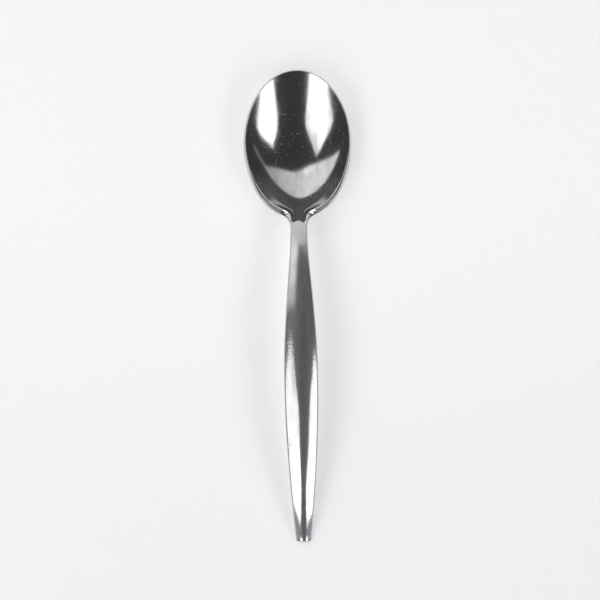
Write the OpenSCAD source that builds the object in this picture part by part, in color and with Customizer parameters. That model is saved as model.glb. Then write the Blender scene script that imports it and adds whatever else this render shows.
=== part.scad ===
// Soup spoon in polished steel: an oval bowl and a crowned, tapering handle that meet at the neck.
// It lies along Y on the table at Z = 0, with the tip of the bowl at +Y and its middle at the origin.

/* [Overall] */
// Length from the tip of the bowl to the end of the handle
spoon_length = 195; // [165:1:230]

/* [Bowl] */
// Length of the rim's oval, from the tip to where it would close at the neck
bowl_length = 61.8; // [52:0.1:72]
// Distance from the tip to the widest place of the bowl
bowl_widest = 30.5; // [25:0.1:36]
// Width across the rim
bowl_width = 44.5; // [36:0.1:54]
// Depth of the hollow below the rim
bowl_depth = 9; // [6:0.1:12]
// Wall at the bottom of the bowl
bowl_wall = 1.6; // [1:0.1:2.5]
// Thickness of the rim at the tip
tip_rim = 1; // [0.6:0.1:1.5]
// Thickness of the rim at the shoulders
shoulder_rim = 3.8; // [2.4:0.1:4.4]
// Softness of the rim's inner edge at the shoulders
rim_softness = 0.2; // [0.1:0.05:0.8]
// Width of the worn flat that the bowl rests on
rest_flat = 7; // [4:0.1:9]

/* [Ears] */
// Height by which the edge line rises at the ears beside the hollow's narrow end
ear_rise = 0.4; // [0:0.1:1]
// Softness of the ears
ear_softness = 1.1; // [0.4:0.1:1.5]
// How far ahead of the rim's oval the hollow closes
hollow_short = 2.2; // [1:0.1:3.5]
// Width of the hollow's narrow end
channel_width = 5.6; // [4:0.1:6.4]

/* [Neck] */
// Distance from the closing of the rim's oval to the narrowest place
neck_reach = 3.2; // [2:0.1:6]
// Width of the neck at its narrowest place
neck_width = 7; // [5:0.1:9]
// Thickness of the neck along its middle
neck_thickness = 3.8; // [2.5:0.1:5]
// Height of the crown on the neck above its edges
neck_crown = 0.5; // [0.2:0.1:1]
// Distance ahead of the narrowest place at which the crown begins
nose_length = 3.6; // [2:0.1:6]
// Length over which the crown comes up
crown_run = 10.6; // [7:0.1:16]
// How much further the hollow runs out at its sides than on the middle
groove_reach = 2; // [0:0.1:3]

/* [Handle] */
// Width of the handle at its widest place
handle_width = 13.9; // [10:0.1:20]
// Distance from the end of the handle to its widest place
handle_widest = 69; // [50:1:85]
// Thickness of the handle along its middle at the widest place
handle_thickness = 3.2; // [2.6:0.1:4]
// Height of the crown above the edges at the widest place
handle_crown = 1.9; // [0.8:0.05:2.2]
// Width of the blunt end, before its corners are rounded
end_width = 6.4; // [4:0.1:9]
// Thickness of the handle along its middle at the end
end_thickness = 2.4; // [2:0.1:3]
// Height of the crown above the edges at the end
end_crown = 1.25; // [0.6:0.05:1.5]
// Rounding of the corners at the end
end_round = 1; // [0.5:0.1:1.5]
// Width of the rounded long edges, seen from above
edge_width = 0.6; // [0.3:0.1:1]

/* [Side profile] */
// Height of the rim at the tip above the rim at the widest place
tip_rise = 0.6; // [0:0.1:2]
// Height of the neck's edges above the rim at the widest place
neck_rise = 1.8; // [0.8:0.1:3]
// Upward angle of the neck
neck_angle = 11.2; // [8:0.1:14]
// Length of the nearly straight stem behind the neck
stem_length = 30; // [22:1:38]
// Rise of the stem
stem_rise = 4.4; // [3:0.1:6]
// Upward angle at the end of the stem
stem_angle = 6.9; // [4:0.1:10]
// Distance from the stem to the top of the handle's arch
arch_reach = 31; // [24:1:42]
// Rise of the arch above the stem
arch_rise = 1.9; // [1:0.1:3.5]
// Downward angle of the handle at its end
end_angle = 26.8; // [20:0.1:33]

/* [Hidden] */

// Places along the spoon, measured from the tip
neck_at = bowl_length + neck_reach;
widest_at = spoon_length - handle_widest;
stem_at = neck_at + stem_length;
arch_at = stem_at + arch_reach;
nose_at = neck_at - nose_length;

// Half measures of the plan
bowl_half = bowl_width / 2;
neck_half = neck_width / 2;
handle_half = handle_width / 2;
end_half = end_width / 2;
bowl_back = bowl_length - bowl_widest;

// Heights of the edge line along the spoon
rim_base = bowl_depth + bowl_wall;
neck_z = rim_base + neck_rise;
ear_z = neck_z + ear_rise;
stem_z = ear_z + stem_rise;
arch_z = stem_z + arch_rise;
end_z = end_thickness - end_crown;
neck_slope = tan(neck_angle);
stem_slope = tan(stem_angle);
end_slope = -tan(end_angle);

// Lean of the rim's face: square to the hollow's wall, and a little flatter on the shoulders
side_lean_share = 1;
shoulder_lean_share = 1.15;
// Part of the bowl's length over which the rim changes to its form on the shoulders
shoulder_from_share = 0.65;
shoulder_to_share = 0.9;
// Powers of the rim's face: a bevel on the sides, rounder on the shoulders, and 1 for the handle's round edge
bevel_power = 1.6;
shoulder_power = 1.22;
// How fast the rim thickens from the tip to the shoulders
rim_growth = 1.5;
// Part of the bowl's length at which the rim begins to turn into the handle's long edge
turn_share = 0.93;
// Parts of the bowl's length at which the ears begin, are fully formed and begin to rise
ear_from_share = 0.935;
ear_to_share = 0.985;
ear_rise_share = 0.9;
// How far the deepest place of the bowl lies behind the widest one
lean_share = 0.28;
// Stretch ahead of the neck in which the hollow turns into a funnel, and the power of the funnel's walls
funnel_run = 2 * neck_reach;
funnel_power = 4;
// Least softness of a blend and least half width
least_soft = 0.001;
least_half = 0.1;
// Softness with which the hollow runs out at the neck, and the bowl's back runs into the neck
hollow_fade = bowl_wall / 2;
back_blend = neck_thickness / 2;
// Part of the bowl's width that the flat takes
flat_share = rest_flat / bowl_width;
// Angle on the rim's oval at which the shoulder leaves it, and how far its curve runs straight on at its ends
shoulder_angle = 42;
shoulder_pull_share = 0.54;
// How far the curves of the long edges run straight on from the neck, the widest place and the end
neck_pull_share = 0.24;
flare_pull_share = 0.43;
taper_pull_share = 0.24;
end_pull_share = 0.55;
// Slope of the long edges in plan where they reach the end
end_taper = tan(5);
// Part of the end's rounding by which its upper and lower faces draw in
end_fall_share = 0.5;
// Bend of the crown: low values give a ridge, high values a round back
neck_bend_share = 0.95;
ridge_bend_share = 0.3;
end_bend_share = 0.65;
// Part of the stretch behind the widest place at which the ridge is sharpest
ridge_share = 0.64;
// Powers of the underside: a plain bow under the bowl, nearly flat with round edges under the handle
plain_power = 2;
flat_power = 4;

// Steps of the surface
fan_steps = 32;
oval_steps = 12;
shoulder_steps = 18;
flare_steps = 18;
taper_steps = 22;
end_steps = 4;
rim_steps = 6;
top_shares = [0.12, 0.25, 0.4, 0.55, 0.68, 0.78, 0.86, 0.92, 0.97, 1];
flat_ring_shares = [0.92, 0.47];
under_shares = concat([0.97, 0.91, 0.82, 0.68, 0.5, 0.3], flat_ring_shares * flat_share);

// Blends between values
function mix(a, b, t) = a + (b - a) * t;
function clamp(t) = max(0, min(1, t));
function smooth(t) = let (c = clamp(t)) c * c * (3 - 2 * c);
function soft_max(a, b, k) = max(a, b) + pow(max(k - abs(a - b), 0), 2) / (4 * k);
// Cubic over a stretch of the spoon with a given value and slope at both ends
function ease(s, from, to, a, b, slope_a, slope_b) =
    let (span = to - from, t = (s - from) / span, u = 1 - t)
    a * (1 + 2 * t) * u * u + b * t * t * (3 - 2 * t) + span * t * u * (slope_a * u - slope_b * t);
// Point on a cubic curve with four control points
function bezier(p, t) =
    let (u = 1 - t)
    u * u * u * p[0] + 3 * u * u * t * p[1] + 3 * u * t * t * p[2] + t * t * t * p[3];
// How the point moves along such a curve
function bezier_speed(p, t) =
    let (u = 1 - t)
    3 * (u * u * (p[1] - p[0]) + 2 * u * t * (p[2] - p[1]) + t * t * (p[3] - p[2]));
// Value that runs from the neck over the widest place to the end of the handle
function along(s, at_neck, at_widest, at_end) =
    s < widest_at ? mix(at_neck, at_widest, smooth((s - neck_at) / (widest_at - neck_at)))
                  : mix(at_widest, at_end, smooth((s - widest_at) / handle_widest));

// Rounding at the very end of the handle
function end_draw(s) =
    let (t = clamp((s - spoon_length + end_round) / end_round))
    end_round * (1 - sqrt(1 - t * t));
function end_fall(s) = end_draw(s) * end_fall_share;

// The ears beside the hollow's narrow end: how far they are formed, and how far they have risen
function along_bowl(s, from, to) = smooth((s / bowl_length - from) / (to - from));
function eared(s) = along_bowl(s, ear_from_share, ear_to_share);
function ear_lift(s) = along_bowl(s, ear_rise_share, neck_at / bowl_length);

// Height of the edge line, which is the rim of the bowl and the upper edge of the handle
function edge_z(s) =
    s < bowl_widest ? rim_base + tip_rise * pow(1 - s / bowl_widest, 2)
    : s < neck_at ? ease(s, bowl_widest, neck_at, rim_base, neck_z, 0, neck_slope) + ear_rise * ear_lift(s)
    : s < stem_at ? ease(s, neck_at, stem_at, ear_z, stem_z, neck_slope, stem_slope)
    : s < arch_at ? ease(s, stem_at, arch_at, stem_z, arch_z, stem_slope, 0)
    : ease(s, arch_at, spoon_length, arch_z, end_z, 0, end_slope) - end_fall(s);

// Thickness along the middle of the handle, and the crown above its edges
function thickness(s) = along(s, neck_thickness, handle_thickness, end_thickness) - 2 * end_fall(s);
function crown(s) = along(s, neck_crown, handle_crown, end_crown) - end_fall(s);

// The rim's face turns into the handle's long edge over the shoulder
function shoulder_turn(s) = along_bowl(s, turn_share, 1);
function shouldered(s) = along_bowl(s, shoulder_from_share, shoulder_to_share);
function rim_lean(s) =
    atan(2 * bowl_depth * mix(side_lean_share, shoulder_lean_share, shouldered(s)) / bowl_half);
function rim_power(s) = mix(mix(bevel_power, shoulder_power, shouldered(s)), 1, shoulder_turn(s));
function rim_thickness(s) = mix(tip_rim, shoulder_rim, pow(clamp(s / bowl_length), rim_growth));
function lip_width(s) = mix(rim_thickness(s) * sin(rim_lean(s)), edge_width, shoulder_turn(s));
function lip_drop(s) =
    mix(rim_thickness(s) * cos(rim_lean(s)), (thickness(s) - crown(s)) / 2, shoulder_turn(s));

// Share by which hollow and back grow along the bowl, so that it is deepest behind the middle
function lean(at) =
    let (offset = (at - bowl_widest) / (at < bowl_widest ? bowl_widest : bowl_back))
    (1 + lean_share * offset) / (1 + lean_share * lean_share / 4);
// Place of a ray's start, 0 at the widest place of the bowl and 1 where the rim's oval closes
function foot(s) = (s - bowl_widest) / bowl_back;
function funnel(s) = smooth((s - bowl_length + funnel_run) / funnel_run);

// Half width of the hollow, which closes ahead of the outline and leaves an ear beside its narrow end
function hollow_half(s) =
    let (
        closing = min(1, (s - bowl_widest) / (bowl_back - hollow_short)),
        oval = (bowl_half - rim_thickness(s) * sin(rim_lean(s))) * sqrt(1 - closing * closing)
    )
    soft_max(oval, channel_width / 2, hollow_short / 2);
// Depth of the hollow below the edge line, at a part of the way out to its edge
function hollow(s, at, inside) =
    let (f = foot(s) - groove_reach / bowl_back * funnel(s) * min(1, inside * inside))
    soft_max(bowl_depth * (1 - f * f) * lean(at), 0, hollow_fade);
// Depth of the top below the edge line: the hollow, or the rim's face where that is lower
function sink(s, at, inside, fall, soft) =
    let (
        depth = hollow(s, at, inside),
        section = 1 - pow(inside, mix(plain_power, funnel_power, funnel(s)))
    )
    soft_max(depth * section, fall, max(least_soft, soft * min(1, depth / bowl_wall)));
function rim_soft(s) =
    mix(rim_softness, ear_softness, eared(s)) * pow(rim_thickness(s) / shoulder_rim, 2);

// Crown across the top, which comes up out of the neck
function crown_rise(s, out) =
    let (
        ridge_at = widest_at + handle_widest * ridge_share,
        fore = mix(neck_bend_share, ridge_bend_share, smooth((s - widest_at) / (ridge_at - widest_at))),
        aft = (end_bend_share - ridge_bend_share) * smooth((s - ridge_at) / (spoon_length - ridge_at)),
        k = fore + aft,
        rim = sqrt(1 + k * k)
    )
    crown(s) * smooth((s - nose_at) / crown_run) * (rim - sqrt(out * out + k * k)) / (rim - k);

// Belly below the rim's face: the bowl's back, blended into the neck
function belly(s, at, drop) =
    soft_max(
        (rim_base - drop) * (1 - pow(foot(s), 2)) * lean(at) / (1 - flat_share * flat_share),
        thickness(s) - crown(s) - drop,
        back_blend
    );
function belly_share(s, v) =
    let (turn = shoulder_turn(s))
    pow(1 - pow(v, mix(plain_power, flat_power, turn)), mix(1, 1 / 2, turn));
// Heights on the middle line
function middle_top_z(s) = edge_z(s) + crown_rise(s, 0) - sink(s, s, 0, 0, rim_soft(s));
function middle_under_z(s) =
    let (drop = lip_drop(s))
    max(0, edge_z(s) - drop - belly(s, s, drop));

// Plan outline as a place along the spoon, the half width there and how fast the outline closes in
oval_stations = [
    for (i = [1:oval_steps])
        let (a = mix(90, shoulder_angle, i / oval_steps))
        [bowl_widest + bowl_back * cos(a), bowl_half * sin(a), bowl_half / bowl_back / tan(a)]
];
shoulder_from = [oval_stations[oval_steps - 1][0], oval_stations[oval_steps - 1][1]];
shoulder_inward = oval_stations[oval_steps - 1][2];
shoulder_pull = (neck_at - shoulder_from[0]) * shoulder_pull_share;
shoulder_to = [neck_at, neck_half];
shoulder_curve = [
    shoulder_from,
    shoulder_from + shoulder_pull * [1, -shoulder_inward],
    shoulder_to - [shoulder_pull, 0],
    shoulder_to
];
flare_run = widest_at - neck_at;
flare_curve = [
    shoulder_to,
    [neck_at + flare_run * neck_pull_share, neck_half],
    [widest_at - flare_run * flare_pull_share, handle_half],
    [widest_at, handle_half]
];
end_pull = handle_widest * end_pull_share;
taper_curve = [
    [widest_at, handle_half],
    [widest_at + handle_widest * taper_pull_share, handle_half],
    [spoon_length - end_pull, end_half + end_pull * end_taper],
    [spoon_length, end_half]
];
shoulder_stations = [
    for (i = [1:shoulder_steps])
        let (t = i / shoulder_steps, p = bezier(shoulder_curve, t), v = bezier_speed(shoulder_curve, t))
        [p[0], p[1], -v[1] / v[0]]
];
straight_end = spoon_length - end_round;
handle_curve = concat(
    [for (i = [1:flare_steps]) bezier(flare_curve, i / flare_steps)],
    [for (i = [1:taper_steps]) let (p = bezier(taper_curve, i / taper_steps)) if (p[0] < straight_end) p],
    [for (i = [0:end_steps])
        let (s = straight_end + end_round * sin(90 * i / end_steps))
        [s, end_half + (spoon_length - s) * end_taper - end_draw(s)]]
);
handle_stations = [for (p = handle_curve) [p[0], p[1], 0]];

// A ray starts on the middle line at a place along the spoon and runs to the outline:
// [place on the middle line, direction in X, direction along the spoon, reach, closing in of the outline]
function side_ray(station, side) = [station[0], side, 0, station[1], station[2]];
function fan_ray(a) =
    let (out = [bowl_half * sin(a), -bowl_widest * cos(a)], reach = norm(out))
    [bowl_widest, out[0] / reach, out[1] / reach, reach, 0];
function place(ray, out) = ray[0] + ray[2] * ray[3] * out;
// Point at a part of the way along a ray and a height above the edge line, never below the table
function spot(ray, out, rise) =
    let (at = place(ray, out))
    [ray[1] * ray[3] * out, spoon_length / 2 - at, max(0, edge_z(at) + rise)];
// Points of one ray, out over the top, round the rim and back below
function ring(ray) =
    let (
        s = ray[0],
        edge_at = place(ray, 1),
        lip = lip_width(edge_at) * sqrt(1 + ray[4] * ray[4]) / ray[3],
        drop = lip_drop(edge_at),
        soft = rim_soft(edge_at),
        power = rim_power(edge_at),
        narrow = min(1, hollow_half(s) / max(least_half, ray[3] * (1 - lip))),
        hollow_edge = (1 - lip) * mix(1, narrow, eared(edge_at)),
        angles = [for (i = [1:rim_steps]) 90 * i / rim_steps],
        steps = concat(
            [for (v = top_shares) [(1 - lip) * v, 0]],
            [for (a = angles) [1 - lip + lip * pow(sin(a), power), drop * (1 - pow(cos(a), power))]]
        )
    )
    concat(
        [for (p = steps)
            spot(ray, p[0], crown_rise(s, p[0]) - sink(s, place(ray, p[0]), p[0] / hollow_edge, p[1], soft))],
        [for (v = under_shares) spot(ray, v, -drop - belly(s, place(ray, v), drop) * belly_share(s, v))]
    );

// Closed skin over rays that run up the left side, through the middle rays and down the right side.
// It is cut off flat at the first station, and at the middle rays too where these are capped.
module skin(stations, middle, capped) {
    count = len(stations);
    rays = concat(
        [for (p = stations) side_ray(p, -1)],
        middle,
        [for (i = [count - 1:-1:0]) side_ray(stations[i], 1)]
    );
    rings = [for (r = rays) ring(r)];
    size = len(rings[0]);
    last = len(rays) - 1;
    places = concat([for (p = stations) p[0]], [middle[0][0]]);
    top_from = size * (last + 1);
    under_from = top_from + len(places);
    points = concat(
        [for (r = rings) each r],
        [for (s = places) [0, spoon_length / 2 - s, middle_top_z(s)]],
        [for (s = places) [0, spoon_length / 2 - s, middle_under_z(s)]]
    );
    function base(j) = min(j, count, last - j);
    function at(j, k) = k < 0 ? top_from + base(j) : k < size ? j * size + k : under_from + base(j);
    function cap(j, h) = concat([for (k = [-1:size]) at(j, k)], [for (k = [size - 1:-1:0]) at(h, k)]);
    sides = [
        for (j = [0:last - 1], k = [-1:size - 1])
            if (!(capped && j == count))
                each concat(
                    at(j, k + 1) == at(j + 1, k + 1) ? [] : [[at(j, k), at(j, k + 1), at(j + 1, k + 1)]],
                    at(j, k) == at(j + 1, k) ? [] : [[at(j, k), at(j + 1, k + 1), at(j + 1, k)]]
                )
    ];
    caps = concat([cap(last, 0)], capped ? [cap(count, count + 1)] : []);
    polyhedron(points, concat(sides, caps), convexity = 6);
}

module bowl() {
    stations = concat(oval_stations, shoulder_stations);
    toward_tip = [for (i = [len(stations) - 1:-1:0]) stations[i]];
    fan = [for (i = [0:fan_steps]) fan_ray(mix(-90, 90, i / fan_steps))];
    color([0.74, 0.74, 0.75]) skin(toward_tip, fan, false);
}

module handle() {
    toward_neck = [for (i = [len(handle_stations) - 1:-1:0]) handle_stations[i]];
    neck_station = shoulder_stations[shoulder_steps - 1];
    color([0.66, 0.66, 0.67])
        skin(toward_neck, [side_ray(neck_station, -1), side_ray(neck_station, 1)], true);
}

bowl();
handle();
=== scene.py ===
import math

import bpy
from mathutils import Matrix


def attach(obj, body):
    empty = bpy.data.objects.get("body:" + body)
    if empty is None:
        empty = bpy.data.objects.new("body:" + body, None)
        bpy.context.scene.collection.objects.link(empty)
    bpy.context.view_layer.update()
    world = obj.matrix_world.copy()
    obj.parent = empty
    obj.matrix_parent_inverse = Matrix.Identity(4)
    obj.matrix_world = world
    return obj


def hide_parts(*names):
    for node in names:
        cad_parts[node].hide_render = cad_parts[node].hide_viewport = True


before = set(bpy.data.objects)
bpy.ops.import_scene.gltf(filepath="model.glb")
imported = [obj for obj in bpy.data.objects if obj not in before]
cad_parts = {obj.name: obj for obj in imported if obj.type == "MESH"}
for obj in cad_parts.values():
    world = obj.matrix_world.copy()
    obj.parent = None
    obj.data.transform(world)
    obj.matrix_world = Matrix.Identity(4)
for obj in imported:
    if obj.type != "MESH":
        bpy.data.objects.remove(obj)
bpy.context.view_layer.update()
print("frame loaded:", ", ".join(sorted(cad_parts)))


class Wire:
    # a socket that can be used in sums; works in shader and geometry trees alike
    def __init__(self, socket):
        self.socket = socket

    @classmethod
    def node(cls, tree, kind, settings=None, sockets=None, out=0):
        made = tree.nodes.new(kind)
        for name, value in (settings or {}).items():
            setattr(made, name, value)
        for name, value in (sockets or {}).items():
            if isinstance(value, cls):
                tree.links.new(value.socket, made.inputs[name])
            else:
                made.inputs[name].default_value = value
        return made if out is None else cls(made.outputs[out])

    def math(self, operation, *values):
        tree = self.socket.id_data
        return Wire.node(tree, "ShaderNodeMath", {"operation": operation}, dict(enumerate(values)))

    def __add__(self, other):
        return self.math("ADD", self, other)

    def __radd__(self, other):
        return self.math("ADD", other, self)

    def __sub__(self, other):
        return self.math("SUBTRACT", self, other)

    def __rsub__(self, other):
        return self.math("SUBTRACT", other, self)

    def __mul__(self, other):
        return self.math("MULTIPLY", self, other)

    def __rmul__(self, other):
        return self.math("MULTIPLY", other, self)

    def __truediv__(self, other):
        return self.math("DIVIDE", self, other)

    def __pow__(self, other):
        return self.math("POWER", self, other)

    def __neg__(self):
        return self.math("MULTIPLY", self, -1.0)

    def __abs__(self):
        return self.math("ABSOLUTE", self)

    def high(self, other):
        return self.math("MAXIMUM", self, other)

    def low(self, other):
        return self.math("MINIMUM", self, other)

    def sin(self):
        return self.math("SINE", self)

    def cos(self):
        return self.math("COSINE", self)

    def tan(self):
        return self.math("TANGENT", self)

    def root(self):
        return self.math("SQRT", self)

    def sign(self):
        return self.math("SIGN", self)

    def clamp(self):
        return self.high(0.0).low(1.0)


def smooth(t):
    return t * t * (3 - 2 * t)


def mix(a, b, t):
    return a + (b - a) * t


def stretch(x, start, end):
    return ((x - start) / (end - start)).clamp()


def fade(x, start, end):
    return smooth(stretch(x, start, end))


def softMax(a, b, k):
    gap = (k - abs(a - b)).high(0.0)
    return a.high(b) + gap * gap / (4 * k)


def bezier(t, p1, p2, p3):
    # cubic that starts at zero
    u = 1 - t
    return 3 * u * u * t * p1 + 3 * u * t * t * p2 + t * t * t * p3


def bezierSpeed(t, p1, p2, p3):
    u = 1 - t
    return 3 * (u * u * p1 + 2 * u * t * (p2 - p1) + t * t * (p3 - p2))


def climb(t, height, span, slopeIn, slopeOut):
    # cubic rise over a span, with a slope at both ends
    u = 1 - t
    return height * smooth(t) + span * t * u * (slopeIn * u - slopeOut * t)


def axis(tree, vector, letter):
    return Wire.node(tree, "ShaderNodeSeparateXYZ", None, {0: vector}, letter)


def blend(tree, share, first, second):
    return Wire.node(tree, "ShaderNodeMix", {"data_type": "RGBA"}, {0: share, 6: first, 7: second}, 2)


def emptyTree(owner):
    owner.use_nodes = True
    owner.node_tree.nodes.clear()
    return owner.node_tree


# Spoon body

spoonSizes = {  # millimetres and degrees
    "spoonLength": 195, "bowlLength": 61.8, "bowlWidest": 30.5, "bowlWidth": 44.5, "bowlDepth": 9,
    "bowlWall": 1.6, "tipRim": 1, "shoulderRim": 3.8, "restFlat": 7, "rimSoftness": 0.25, "earSoftness": 1.1,
    "hollowShort": 2.2, "channelWidth": 5.6, "earRise": 0.4,
    "neckReach": 3.2, "neckWidth": 7, "neckThickness": 3.8, "neckCrown": 0.5,
    "noseLength": 3.6, "crownRun": 10.6, "grooveReach": 2,
    "handleWidth": 13.9, "handleWidest": 69, "handleThickness": 3.2, "handleCrown": 1.9,
    "endWidth": 6.4, "endThickness": 2.4, "endCrown": 1.25, "endRound": 1, "edgeWidth": 0.6,
    "tipRise": 0.6, "neckRise": 1.8, "neckAngle": 11.2, "stemLength": 30, "stemRise": 4.4, "stemAngle": 6.9,
    "archReach": 31, "archRise": 1.9, "endAngle": 26.8,
}
spoonShares = {  # shares of those sizes, slopes and powers
    "shoulderAngle": math.radians(42), "shoulderPull": 0.54, "neckPull": 0.24, "flarePull": 0.43,
    "taperPull": 0.24, "endPull": 0.55, "endTaper": math.tan(math.radians(5)),
    "neckBend": 0.95, "endBend": 0.3, "tipBend": 0.65, "bendRun": 0.64,
    "rimGrowth": 1.5, "rimLean": 1.0, "shoulderLean": 1.4, "hollowLean": 0.28, "wallTop": 0.78,
    "rimChamfer": 1.6, "shoulderChamfer": 1.42, "earChamfer": 1.75, "neckChamfer": 1.0,
    "hollowPower": 2.0, "backPower": 2.5, "funnelPower": 4, "funnelReaches": 2,
    "bellyPower": 2.0, "neckPower": 4.0, "bellyRoot": 1.0, "neckRoot": 0.5,
    "endPivot": 0.8, "endSquash": 0.4,
}
bowlStages = {  # shares of the bowl's length where forms start and end
    "shouldered": (0.65, 0.9), "flattened": (0.84, 0.9), "backed": (0.865, 0.94), "turned": (0.93, 1.0),
    "eared": (0.935, 0.985), "rounded": (0.95, 1.0), "earRiseFrom": 0.9,
}
spoonMesh = {
    "columns": 461, "rows": 97,
    "stops": (0.22, 0.40, 0.52, 0.71, 0.94),  # where fan, oval, shoulder, flare and taper end, from the tip
    "rimFrom": 0.46, "rimTo": 0.64, "endTurnTo": 0.6,
    "leastHalf": 0.0001, "leastSoftness": 0.000001, "mergeDistance": 0.000002,  # metres
}


def spoonTree():
    tree = bpy.data.node_groups.new("spoonBody", "GeometryNodeTree")
    tree.interface.new_socket(name="Geometry", in_out="OUTPUT", socket_type="NodeSocketGeometry")
    for name in spoonSizes:
        tree.interface.new_socket(name=name, in_out="INPUT", socket_type="NodeSocketFloat")
    tree.interface.new_socket(name="finish", in_out="INPUT", socket_type="NodeSocketMaterial")
    given = Wire.node(tree, "NodeGroupInput", out=None)
    g = {name: Wire(given.outputs[name]) for name in spoonSizes}
    q = spoonShares
    quarter = math.pi / 2

    grid = Wire.node(tree, "GeometryNodeMeshGrid", None, {
        "Size X": 2.0, "Size Y": 1.0,
        "Vertices X": spoonMesh["columns"], "Vertices Y": spoonMesh["rows"]}, "Mesh")
    flat = Wire.node(tree, "GeometryNodeInputPosition")
    across = axis(tree, flat, "X")
    around = axis(tree, flat, "Y") + 0.5
    side, path = across.sign(), abs(across)

    # derived sizes
    bowlHalf, neckHalf = g["bowlWidth"] / 2, g["neckWidth"] / 2
    handleHalf, endHalf = g["handleWidth"] / 2, g["endWidth"] / 2
    bowlBack = g["bowlLength"] - g["bowlWidest"]
    neckAt = g["bowlLength"] + g["neckReach"]
    widestAt = g["spoonLength"] - g["handleWidest"]
    rimBase = g["bowlDepth"] + g["bowlWall"]
    endRise = g["endThickness"] - g["endCrown"]
    neckSlope, stemSlope, endSlope = g["neckAngle"].tan(), g["stemAngle"].tan(), -g["endAngle"].tan()
    flatShare = g["restFlat"] / g["bowlWidth"]
    shoulderAt = g["bowlWidest"] + bowlBack * math.cos(q["shoulderAngle"])
    shoulderHalf = bowlHalf * math.sin(q["shoulderAngle"])

    # outline, from the tip round the oval to the end of the handle
    stops = spoonMesh["stops"]
    fan = (path / stops[0]).clamp() * quarter
    oval = quarter - stretch(path, stops[0], stops[1]) * (quarter - q["shoulderAngle"])
    shoulder, flare, taper = (stretch(path, stops[i], stops[i + 1]) for i in (1, 2, 3))
    last = stretch(path, stops[4], 1.0)
    neckRun, narrowing = neckAt - shoulderAt, neckHalf - shoulderHalf
    pullRun = neckRun * q["shoulderPull"]
    shoulderSlope = bowlHalf / bowlBack / math.tan(q["shoulderAngle"])
    shoulderRuns = (pullRun, neckRun - pullRun, neckRun)
    shoulderFalls = (-(shoulderSlope * pullRun), narrowing, narrowing)
    flareRun, flareGain = widestAt - neckAt, handleHalf - neckHalf
    taperRun = g["handleWidest"] - g["endRound"]
    taperLoss = endHalf + g["endRound"] * q["endTaper"] - handleHalf
    endPull = g["handleWidest"] * q["endPull"]
    baseAt = (
        g["bowlWidest"] + bowlBack * oval.cos()
        + bezier(shoulder, *shoulderRuns)
        + bezier(flare, flareRun * q["neckPull"], flareRun * (1 - q["flarePull"]), flareRun)
        + bezier(taper, g["handleWidest"] * q["taperPull"], g["handleWidest"] - endPull, taperRun)
    )
    half = (
        bowlHalf * fan.sin() * oval.sin()
        + bezier(shoulder, *shoulderFalls)
        + bezier(flare, 0.0, flareGain, flareGain)
        + bezier(taper, 0.0, endHalf + endPull * q["endTaper"] - handleHalf, taperLoss)
    )
    forward = g["bowlWidest"] * fan.cos()  # how far the rim lies ahead of the ray's foot
    reach = (half * half + forward * forward).root()
    rimAt = baseAt - forward
    endTurn = (last / spoonMesh["endTurnTo"]).clamp() * quarter
    endClose = 1 - stretch(last, spoonMesh["endTurnTo"], 1.0)

    # values along the spoon
    def alongBowl(s, stage):
        start, end = bowlStages[stage]
        return fade(s, g["bowlLength"] * start, g["bowlLength"] * end)

    def alongHandle(s, atNeck, atWidest, atEnd):
        return (
            atNeck + (atWidest - atNeck) * fade(s, neckAt, widestAt)
            + (atEnd - atWidest) * fade(s, widestAt, g["spoonLength"])
        )

    def edgeHeight(s):
        tip = (1 - s / g["bowlWidest"]).high(0.0)
        bowlRun = neckAt - g["bowlWidest"]
        stemAt = neckAt + g["stemLength"]
        archAt = stemAt + g["archReach"]
        lastRun = g["spoonLength"] - archAt
        archTop = rimBase + g["neckRise"] + g["earRise"] + g["stemRise"] + g["archRise"]
        return (
            rimBase + g["tipRise"] * tip * tip
            + climb(stretch(s, g["bowlWidest"], neckAt), g["neckRise"], bowlRun, 0.0, neckSlope)
            + g["earRise"] * fade(s, g["bowlLength"] * bowlStages["earRiseFrom"], neckAt)
            + climb(stretch(s, neckAt, stemAt), g["stemRise"], g["stemLength"], neckSlope, stemSlope)
            + climb(stretch(s, stemAt, archAt), g["archRise"], g["archReach"], stemSlope, 0.0)
            + climb(stretch(s, archAt, g["spoonLength"]), endRise - archTop, lastRun, 0.0, endSlope)
        )

    thickness = alongHandle(rimAt, g["neckThickness"], g["handleThickness"], g["endThickness"])
    crown = alongHandle(rimAt, g["neckCrown"], g["handleCrown"], g["endCrown"])
    ridgeAt = widestAt + g["handleWidest"] * q["bendRun"]  # where the ridge is sharpest
    bend = mix(q["neckBend"], q["endBend"], fade(rimAt, widestAt, ridgeAt))
    bend = bend + (q["tipBend"] - q["endBend"]) * fade(rimAt, ridgeAt, g["spoonLength"])
    turn = alongBowl(rimAt, "turned")
    shouldered = alongBowl(rimAt, "shouldered")
    leanRun = 2 * g["bowlDepth"] * mix(q["rimLean"], q["shoulderLean"], shouldered)
    leanLong = (leanRun * leanRun + bowlHalf * bowlHalf).root()
    leanSin, leanCos = leanRun / leanLong, bowlHalf / leanLong
    rimThick = mix(g["tipRim"], g["shoulderRim"], (rimAt / g["bowlLength"]).clamp() ** q["rimGrowth"])
    lip = mix(rimThick * leanSin, g["edgeWidth"], turn)
    drop = mix(rimThick * leanCos, (thickness - crown) / 2, turn)
    inward = bowlHalf / bowlBack / oval.tan() - shoulderSlope  # how fast the outline closes in
    inward = inward - bezierSpeed(shoulder, *shoulderFalls) / bezierSpeed(shoulder, *shoulderRuns)
    lipShare = lip / reach * (1 + inward * inward).root()

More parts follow.
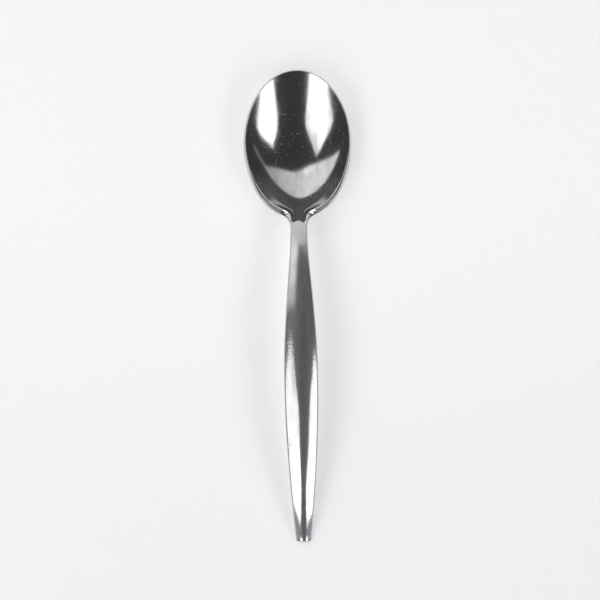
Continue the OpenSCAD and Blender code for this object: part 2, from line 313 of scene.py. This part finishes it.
    # one ring: out over the top, round the rim and back below
    rimFrom, rimTo = spoonMesh["rimFrom"], spoonMesh["rimTo"]
    v = ((around / rimFrom).clamp() * quarter).sin()
    roll = stretch(around, rimFrom, rimTo) * quarter
    chamfer = mix(q["rimChamfer"], q["shoulderChamfer"], shouldered)
    chamfer = mix(chamfer, q["earChamfer"], alongBowl(rimAt, "flattened"))
    chamfer = mix(chamfer, q["neckChamfer"], alongBowl(rimAt, "rounded"))
    rollOut, rollDown = roll.sin() ** chamfer, 1 - roll.cos() ** chamfer
    back = (stretch(around, rimTo, 1.0) * quarter).cos()
    out = (1 - lipShare) * v + lipShare * rollOut
    r = out * back
    place = baseAt - forward * r

    # top: the hollow runs into the rim, and the crown rises from its rounded nose
    foot = (baseAt - g["bowlWidest"]) / bowlBack
    lean = 1 + q["hollowLean"] * (foot - r * fan.cos())  # deepest behind the middle
    lean = lean / (1 + q["hollowLean"] ** 2 / 4)
    inside = out / (1 - lipShare)
    funnel = fade(baseAt, g["bowlLength"] - q["funnelReaches"] * g["neckReach"], g["bowlLength"])
    eared = alongBowl(rimAt, "eared")
    # the hollow closes ahead of the outline and leaves an ear on both sides of its narrow end
    closing = ((baseAt - g["bowlWidest"]) / (bowlBack - g["hollowShort"])).low(1.0)
    hollowHalf = (bowlHalf - rimThick * leanSin) * (1 - closing * closing).root()
    hollowHalf = softMax(hollowHalf, g["channelWidth"] / 2, g["hollowShort"] / 2)
    innerHalf = (half * (1 - lipShare)).high(spoonMesh["leastHalf"])
    inside = inside / mix(1.0, (hollowHalf / innerHalf).low(1.0), eared)
    grooveFoot = foot - g["grooveReach"] / bowlBack * funnel * (inside * inside).low(1.0)
    hollow = softMax(g["bowlDepth"] * (1 - grooveFoot * grooveFoot) * lean, 0.0, g["bowlWall"] / 2)
    thickShare = rimThick / g["shoulderRim"]
    rimSoft = mix(g["rimSoftness"], g["earSoftness"], eared) * thickShare * thickShare
    rimSoft = rimSoft * (hollow / g["bowlWall"]).low(1.0) + spoonMesh["leastSoftness"]
    wallTop = (inside - q["wallTop"]).high(0.0)  # the wall is straight above this share
    hollowPower = mix(q["hollowPower"], q["backPower"], alongBowl(baseAt, "backed"))
    wall = 1 - inside ** mix(hollowPower, q["funnelPower"], funnel) + shouldered * wallTop * wallTop
    sink = softMax(hollow * wall, drop * rollDown, rimSoft)
    bendRim = (1 + bend * bend).root()
    noseAt = neckAt - g["noseLength"]
    crownStart = fade(baseAt, noseAt, noseAt + g["crownRun"])
    crownRise = crown * crownStart * (bendRim - (out * out + bend * bend).root()) / (bendRim - bend)
    top = crownRise - sink

    # underside: the bowl's back, blended into the neck
    bowlBelly = (rimBase - drop) * (1 - foot * foot) * lean / (1 - flatShare * flatShare)
    handleBelly = thickness - crown - drop
    belly = softMax(bowlBelly, handleBelly, g["neckThickness"] / 2)
    power = mix(q["bellyPower"], q["neckPower"], turn)
    bulge = (1 - back ** power).high(0.0) ** mix(q["bellyRoot"], q["neckRoot"], turn)
    height = edgeHeight(place) + top - belly * bulge

    # the end is rounded and then closed flat
    pull = 1 - endTurn.cos()
    place = place + g["endRound"] * endTurn.sin()
    endThin = (1 - g["endRound"] * pull / half) * endClose
    pivot = edgeHeight(place) + crown - thickness * q["endPivot"]
    squash = 1 - g["endRound"] * pull * q["endSquash"] / thickness
    height = pivot + (height - pivot) * squash * endClose
    spot = Wire.node(tree, "ShaderNodeCombineXYZ", None, {
        "X": side * r * half * endThin, "Y": g["spoonLength"] / 2 - place, "Z": height.high(0.0)})

    shape = Wire.node(tree, "GeometryNodeSetPosition", None, {"Geometry": grid, "Position": spot})
    shape = Wire.node(tree, "GeometryNodeMergeByDistance", None, {
        "Geometry": shape, "Distance": spoonMesh["mergeDistance"]})
    shape = Wire.node(tree, "GeometryNodeSetShadeSmooth", None, {0: shape, "Shade Smooth": True})
    shape = Wire.node(tree, "GeometryNodeRealizeInstances", None, {"Geometry": shape})
    shape = Wire.node(tree, "GeometryNodeSetMaterial", None, {
        "Geometry": shape, "Material": Wire(given.outputs["finish"])})
    Wire.node(tree, "NodeGroupOutput", None, {"Geometry": shape}, None)
    return tree


# Steel

steelFinish = {
    "tone": (0.632, 0.637, 0.65, 1.0), "streakTone": (0.53, 0.533, 0.54, 1.0),
    "scarTone": (0.95, 0.95, 0.95, 1.0),
    "bowlRoughness": 0.13, "handleRoughness": 0.1, "roughnessSpread": 0.06,
    "hazeRoughness": 0.5, "bowlHaze": 0.015, "handleHaze": 0.32,
    # patterns to a metre
    "streaks": (420.0, 30.0, 420.0), "stains": 260.0, "peel": 1100.0, "waves": 160.0, "specks": 900.0,
    "streakDetail": 3.0, "stainDetail": 4.0, "peelDetail": 2.0, "waveDetail": 1.0,
    "streakGrain": 0.6, "stainGrain": 0.65, "streakShare": 0.6, "wornRange": (0.42, 0.66),
    "speckRadius": 0.26, "speckChance": (0.5, 0.75), "speckPatches": (0.38, 0.52), "easedGrip": 0.4,
    # depths in micrometres, and that unit in metres
    "bowlPeel": 4.0, "handlePeel": 45.0, "waveDepth": 8.0, "micrometre": 0.000001,
    # metres along the spoon
    "bowlRange": (0.028, 0.037), "gripRange": (0.0, -0.012), "easedRange": (-0.016, -0.032),
}


def noise(tree, vector, scale, detail, grain=0.5):
    return Wire.node(tree, "ShaderNodeTexNoise", None, {
        "Vector": vector, "Scale": scale, "Detail": detail, "Roughness": grain})


def steelMaterial():
    f = steelFinish
    material = bpy.data.materials.new("polishedSteel")
    tree = emptyTree(material)
    spot = Wire.node(tree, "ShaderNodeTexCoord", None, None, "Object")
    along = axis(tree, spot, "Y")
    onBowl = fade(along, *f["bowlRange"])

    # polishing streaks lie along the spoon
    drawn = Wire.node(tree, "ShaderNodeMapping", None, {"Vector": spot, "Scale": f["streaks"]})
    streak = noise(tree, drawn, 1.0, f["streakDetail"], f["streakGrain"])
    stain = noise(tree, spot, f["stains"], f["stainDetail"], f["stainGrain"])
    worn = stretch(streak * f["streakShare"] + stain * (1 - f["streakShare"]), *f["wornRange"])
    tone = blend(tree, worn, f["tone"], f["streakTone"])
    rough = mix(f["handleRoughness"], f["bowlRoughness"], onBowl) + (worn - 0.5) * f["roughnessSpread"]

    # relief, most worn behind the stem
    peel = noise(tree, spot, f["peel"], f["peelDetail"])
    wave = noise(tree, spot, f["waves"], f["waveDetail"])
    grip = fade(along, *f["gripRange"]) * mix(1.0, f["easedGrip"], fade(along, *f["easedRange"]))
    relief = peel * mix(f["handlePeel"] * grip, f["bowlPeel"], onBowl) + wave * f["waveDepth"]
    bump = {"Height": relief, "Distance": f["micrometre"]}
    facing = Wire.node(tree, "ShaderNodeBump", None, bump, "Normal")

    polish = Wire.node(tree, "ShaderNodeBsdfPrincipled", None, {
        "Metallic": 1.0, "Base Color": tone, "Roughness": rough, "Normal": facing})
    # tiny scars scatter the light, here and there
    cells = {"Vector": spot, "Scale": f["specks"]}
    apart = Wire.node(tree, "ShaderNodeTexVoronoi", None, cells, "Distance")
    chance = Wire.node(tree, "ShaderNodeTexVoronoi", None, cells, "Color")
    speck = smooth((1 - apart / f["speckRadius"]).clamp())
    speck = speck * stretch(chance, *f["speckChance"]) * fade(wave, *f["speckPatches"])
    hazeTone = blend(tree, speck, tone, f["scarTone"])
    haze = Wire.node(tree, "ShaderNodeBsdfPrincipled", None, {
        "Metallic": 1.0, "Base Color": hazeTone, "Roughness": f["hazeRoughness"], "Normal": facing})
    dull = mix(f["handleHaze"], f["bowlHaze"], onBowl).high(speck)
    surface = Wire.node(tree, "ShaderNodeMixShader", None, {0: dull, 1: polish, 2: haze})
    Wire.node(tree, "ShaderNodeOutputMaterial", None, {"Surface": surface}, None)
    return material


def makeSpoon():
    tree = spoonTree()
    blank = bpy.data.objects.new("spoonBlank", bpy.data.meshes.new("spoonBlank"))
    bpy.context.scene.collection.objects.link(blank)
    modifier = blank.modifiers.new("spoonBody", "NODES")
    modifier.node_group = tree
    for item in tree.interface.items_tree:
        if item.in_out != "INPUT":
            continue
        if item.name == "finish":
            modifier[item.identifier] = steelMaterial()
        elif item.name.endswith("Angle"):
            modifier[item.identifier] = math.radians(spoonSizes[item.name])
        else:
            modifier[item.identifier] = spoonSizes[item.name] / 1000
    graph = bpy.context.evaluated_depsgraph_get()
    mesh = bpy.data.meshes.new_from_object(blank.evaluated_get(graph), depsgraph=graph)
    bpy.data.objects.remove(blank)
    mesh.name = "spoon"
    piece = bpy.data.objects.new("spoon", mesh)
    bpy.context.scene.collection.objects.link(piece)
    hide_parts("bowl", "handle")
    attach(piece, "root")
    print("spoon made:", len(mesh.vertices), "points,", len(mesh.polygons), "faces")


makeSpoon()


# Studio: pale table, two soft panels over the long sides and a dim one beyond the tip

table = {
    "half": 4.0, "tone": (0.9, 0.9, 0.905, 1.0), "level": 0.41,
    # the second glow colour, laid over nearRange, is painted shade: the table's glow dims towards its near
    # end
    "glow": (0.97, 0.98, 1.0, 1.0), "shadedNearGlow": (0.84, 0.85, 0.88, 1.0), "nearRange": (0.06, -0.12),
}


def flatObject(name, corners):
    mesh = bpy.data.meshes.new(name)
    mesh.from_pydata(corners, [], [tuple(range(len(corners)))])
    thing = bpy.data.objects.new(name, mesh)
    bpy.context.scene.collection.objects.link(thing)
    return thing


def makeTable():
    size = table["half"]
    sheet = flatObject("table", [(-size, -size, 0), (size, -size, 0), (size, size, 0), (-size, size, 0)])
    material = bpy.data.materials.new("paleTable")
    tree = emptyTree(material)
    seen = Wire.node(tree, "ShaderNodeLightPath", None, None, "Is Camera Ray")
    mirrored = Wire.node(tree, "ShaderNodeLightPath", None, None, "Is Glossy Ray")
    spot = Wire.node(tree, "ShaderNodeTexCoord", None, None, "Object")
    # painted shade: the glow that the camera and mirror rays see is dimmer towards the near end of the table
    near = fade(axis(tree, spot, "Y"), *table["nearRange"])
    paper = Wire.node(tree, "ShaderNodeBsdfDiffuse", None, {"Color": table["tone"]})
    glow = Wire.node(tree, "ShaderNodeEmission", None, {
        "Color": blend(tree, near, table["glow"], table["shadedNearGlow"]),
        "Strength": seen.high(mirrored) * table["level"]})
    both = Wire.node(tree, "ShaderNodeAddShader", None, {0: paper, 1: glow})
    Wire.node(tree, "ShaderNodeOutputMaterial", None, {"Surface": both}, None)
    sheet.data.materials.append(material)


# places on a panel are in panel heights from a point over the bowl
panels = {"height": 1.2, "foot": 0.04}
sidePanels = {
    "fadeRange": (-0.14, 0.08), "nearRange": (-0.45, -0.9), "innerSoft": 0.2, "innerLevel": 0.75,
}
leftPanel = {
    "corners": (
        (-0.25, -0.5), (-0.25, -0.35), (-0.4, -0.15), (-0.7, 0.15), (-0.9, 0.05), (-1.3, -0.25), (-1.4, -0.4),
        (-0.95, -0.8), (-1.1, -1.1), (-1.4, -1.75), (-1.4, -1.95), (-1.0, -1.9), (-0.55, -1.5), (-0.4, -1.15),
        (-0.3, -0.7)),
    "levels": (1.2, 1.9, 2.5), "inner": 0.25,  # levels are far, middle and near
    "fall": (-0.08, 0.22), "fallRange": (0.78, 0.66),  # the far fade lies nearer on the inner side
}
rightPanel = {
    "corners": (
        (0.6, -0.5), (0.65, -0.3), (0.95, 0.05), (1.6, -0.1), (1.8, -0.25), (1.7, -0.4), (1.3, -0.7),
        (1.1, -0.9), (1.6, -1.75), (1.6, -2.15), (0.95, -1.9), (0.65, -1.5), (0.6, -1.2), (0.65, -0.8)),
    "levels": (1.4, 2.2, 2.6), "inner": 0.6,
}
farPanel = {
    "corners": (
        (-2.75, 0.45), (-1.8, 0.35), (-1.0, 0.2), (-0.2, 0.3), (-0.1, 0.35), (0.85, 0.35), (1.5, 0.5),
        (2.15, 0.5), (2.6, 0.2), (2.75, 0.35), (1.95, 0.7), (1.65, 1.1), (1.15, 1.3), (-0.7, 1.55),
        (-1.4, 1.65), (-2.05, 1.5), (-2.55, 0.8)),
    "level": 1.02, "rightLevel": 0.48, "levelRange": (-0.6, 1.5),
    "edge": 0.395, "edgeRange": (-0.045, 0.055),  # its soft near edge, with how that bends
    "leftDip": 0.1, "leftDipRange": (0.2, -0.5), "leftRise": 0.1, "leftRiseRange": (-0.9, -1.9),
    "rightRise": 0.19, "rightRiseRange": (0.4, 1.6), "rightDip": 0.4, "rightDipRange": (1.9, 2.7),
    "gain": 0.4, "gainFrom": (-0.1, -0.25), "gainTo": (-0.74, -0.5), "gainDepth": (0.52, 0.38),
}


def sideLevel(p, x, y):
    atFar, atMiddle, atNear = p["levels"]
    fall = mix(*p["fall"], stretch(abs(x), *p["fallRange"])) if "fall" in p else 0.0
    level = mix(atMiddle, atFar, fade(y + fall, *sidePanels["fadeRange"]))
    level = mix(level, atNear, fade(y, *sidePanels["nearRange"]))
    soft = fade(abs(x), p["inner"], p["inner"] + sidePanels["innerSoft"])
    return level * mix(sidePanels["innerLevel"], 1.0, soft)


def farLevel(p, x, y):
    edge = p["edge"] - p["leftDip"] * fade(x, *p["leftDipRange"])
    edge = edge + p["leftRise"] * stretch(x, *p["leftRiseRange"])
    rise = stretch(x, *p["rightRiseRange"])
    edge = edge + p["rightRise"] * rise * rise - p["rightDip"] * stretch(x, *p["rightDipRange"])
    dimmed = mix(1.0, p["rightLevel"], stretch(x, *p["levelRange"]))
    level = fade(y - edge, *p["edgeRange"]) * dimmed * p["level"]
    # brightest along a stretch of its near edge
    bright = stretch(x, *p["gainFrom"]) * stretch(x, *p["gainTo"]) * stretch(y, *p["gainDepth"])
    return level * (1 + p["gain"] * bright)


def makePanel(name, settings, levelAt):
    height, foot = panels["height"], panels["foot"]
    panel = flatObject(name, [(x * height, y * height + foot, height) for x, y in settings["corners"]])
    material = bpy.data.materials.new(name)
    tree = emptyTree(material)
    spot = Wire.node(tree, "ShaderNodeTexCoord", None, None, "Object")
    x, y = axis(tree, spot, "X") / height, (axis(tree, spot, "Y") - foot) / height
    glow = Wire.node(tree, "ShaderNodeEmission", None, {"Strength": levelAt(settings, x, y)})
    Wire.node(tree, "ShaderNodeOutputMaterial", None, {"Surface": glow}, None)
    panel.data.materials.append(material)
    panel.visible_camera = False


room = {
    "tint": (0.97, 0.98, 1.0, 1.0), "backdrop": 0.9,
    "ceiling": 0.047, "sideWalls": 0.05, "farWall": 0.115, "skirting": 0.36,
    "farRange": (0.3, 0.65), "ceilingRange": (0.25, 0.75),
    "lowRange": (0.2, 0.1), "lowAhead": (0.15, -0.15), "nearRange": (0.45, 0.25), "nearAhead": (-0.3, -0.55),
}


def makeWorld():
    world = bpy.data.worlds.new("studio")
    bpy.context.scene.world = world
    tree = emptyTree(world)
    seen = Wire.node(tree, "ShaderNodeLightPath", None, None, "Is Camera Ray")
    look = Wire.node(tree, "ShaderNodeTexCoord", None, None, "Generated")
    up, ahead = axis(tree, look, "Z"), axis(tree, look, "Y")
    walls = mix(room["sideWalls"], room["farWall"], fade(ahead, *room["farRange"]))
    dim = mix(walls, room["ceiling"], fade(up, *room["ceilingRange"]))
    # a pale skirting runs round the near half and stands higher on the near wall
    low = fade(up, *room["lowRange"]) * fade(ahead, *room["lowAhead"])
    low = low.high(fade(up, *room["nearRange"]) * fade(ahead, *room["nearAhead"]))
    level = mix(mix(dim, room["skirting"], low), room["backdrop"], seen)  # the camera sees a pale backdrop
    glow = Wire.node(tree, "ShaderNodeBackground", None, {"Color": room["tint"], "Strength": level})
    Wire.node(tree, "ShaderNodeOutputWorld", None, {"Surface": glow}, None)


camera = {"place": (0.0, 0.0029, 0.762), "roll": -0.92, "sensor": 36.0, "lens": 109.8, "clip": (0.01, 20)}


def makeCamera():
    lens = bpy.data.cameras.new("viewer")
    viewer = bpy.data.objects.new("viewer", lens)
    bpy.context.scene.collection.objects.link(viewer)
    viewer.location = camera["place"]
    viewer.rotation_euler = (0.0, 0.0, math.radians(camera["roll"]))
    lens.sensor_width = camera["sensor"]
    lens.lens = camera["lens"]
    lens.clip_start, lens.clip_end = camera["clip"]
    bpy.context.scene.camera = viewer


makeTable()
makePanel("leftPanel", leftPanel, sideLevel)
makePanel("rightPanel", rightPanel, sideLevel)
makePanel("farPanel", farPanel, farLevel)
makeWorld()
makeCamera()
bpy.context.scene.view_settings.view_transform = "Standard"
print("studio made")
